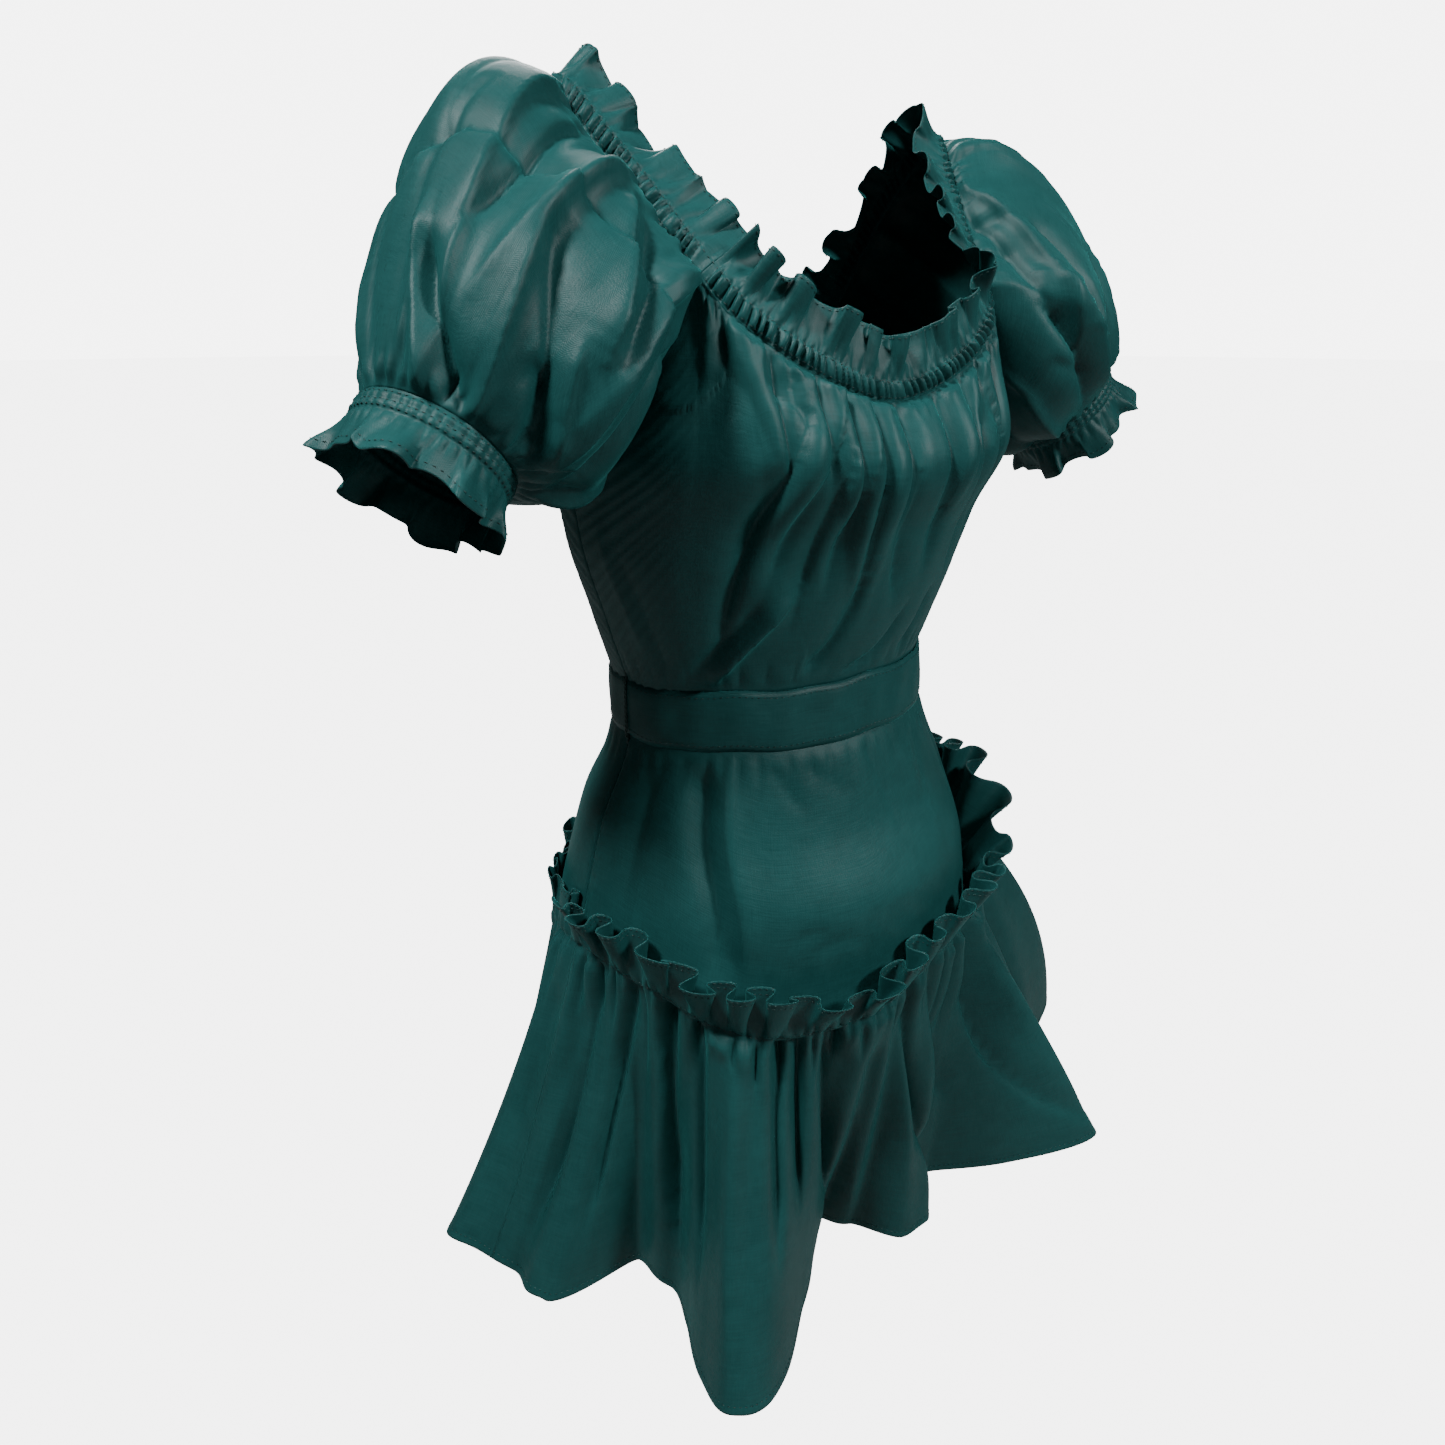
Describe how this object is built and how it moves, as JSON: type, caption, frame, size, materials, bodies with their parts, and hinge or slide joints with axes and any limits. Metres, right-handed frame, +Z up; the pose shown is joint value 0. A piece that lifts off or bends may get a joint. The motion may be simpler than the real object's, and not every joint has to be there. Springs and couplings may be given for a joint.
{
  "type": "mini dress",
  "caption": "Short puff-sleeved taffeta dress with a gathered scoop neckline and frill, a narrow belt and a gathered flounce with a heading, hollow as when worn.",
  "frame": {"origin": "midway between the two shoulders, at the height of the top of the neckline", "axes": "+Z up, -Y towards the front of the dress, +X towards the wearer's left"},
  "size_m": [0.6536, 0.4177, 0.8751],
  "materials": {
    "taffeta": "crisp plain-woven taffeta with a soft sheen",
    "thread": "twisted sewing thread"
  },
  "bodies": {
    "root": {"bodice_front": "taffeta", "bodice_back": "taffeta", "sleeve_left": "taffeta", "sleeve_right": "taffeta", "neck_frill_front": "taffeta", "neck_frill_left": "taffeta", "neck_frill_back": "taffeta", "neck_frill_right": "taffeta", "cuff_frill_left": "taffeta", "cuff_frill_right": "taffeta", "belt": "taffeta", "belt_loop_left": "thread", "belt_loop_right": "thread", "skirt_front": "taffeta", "skirt_back": "taffeta", "flounce_front": "taffeta", "flounce_back": "taffeta"}
  },
  "joints": []
}
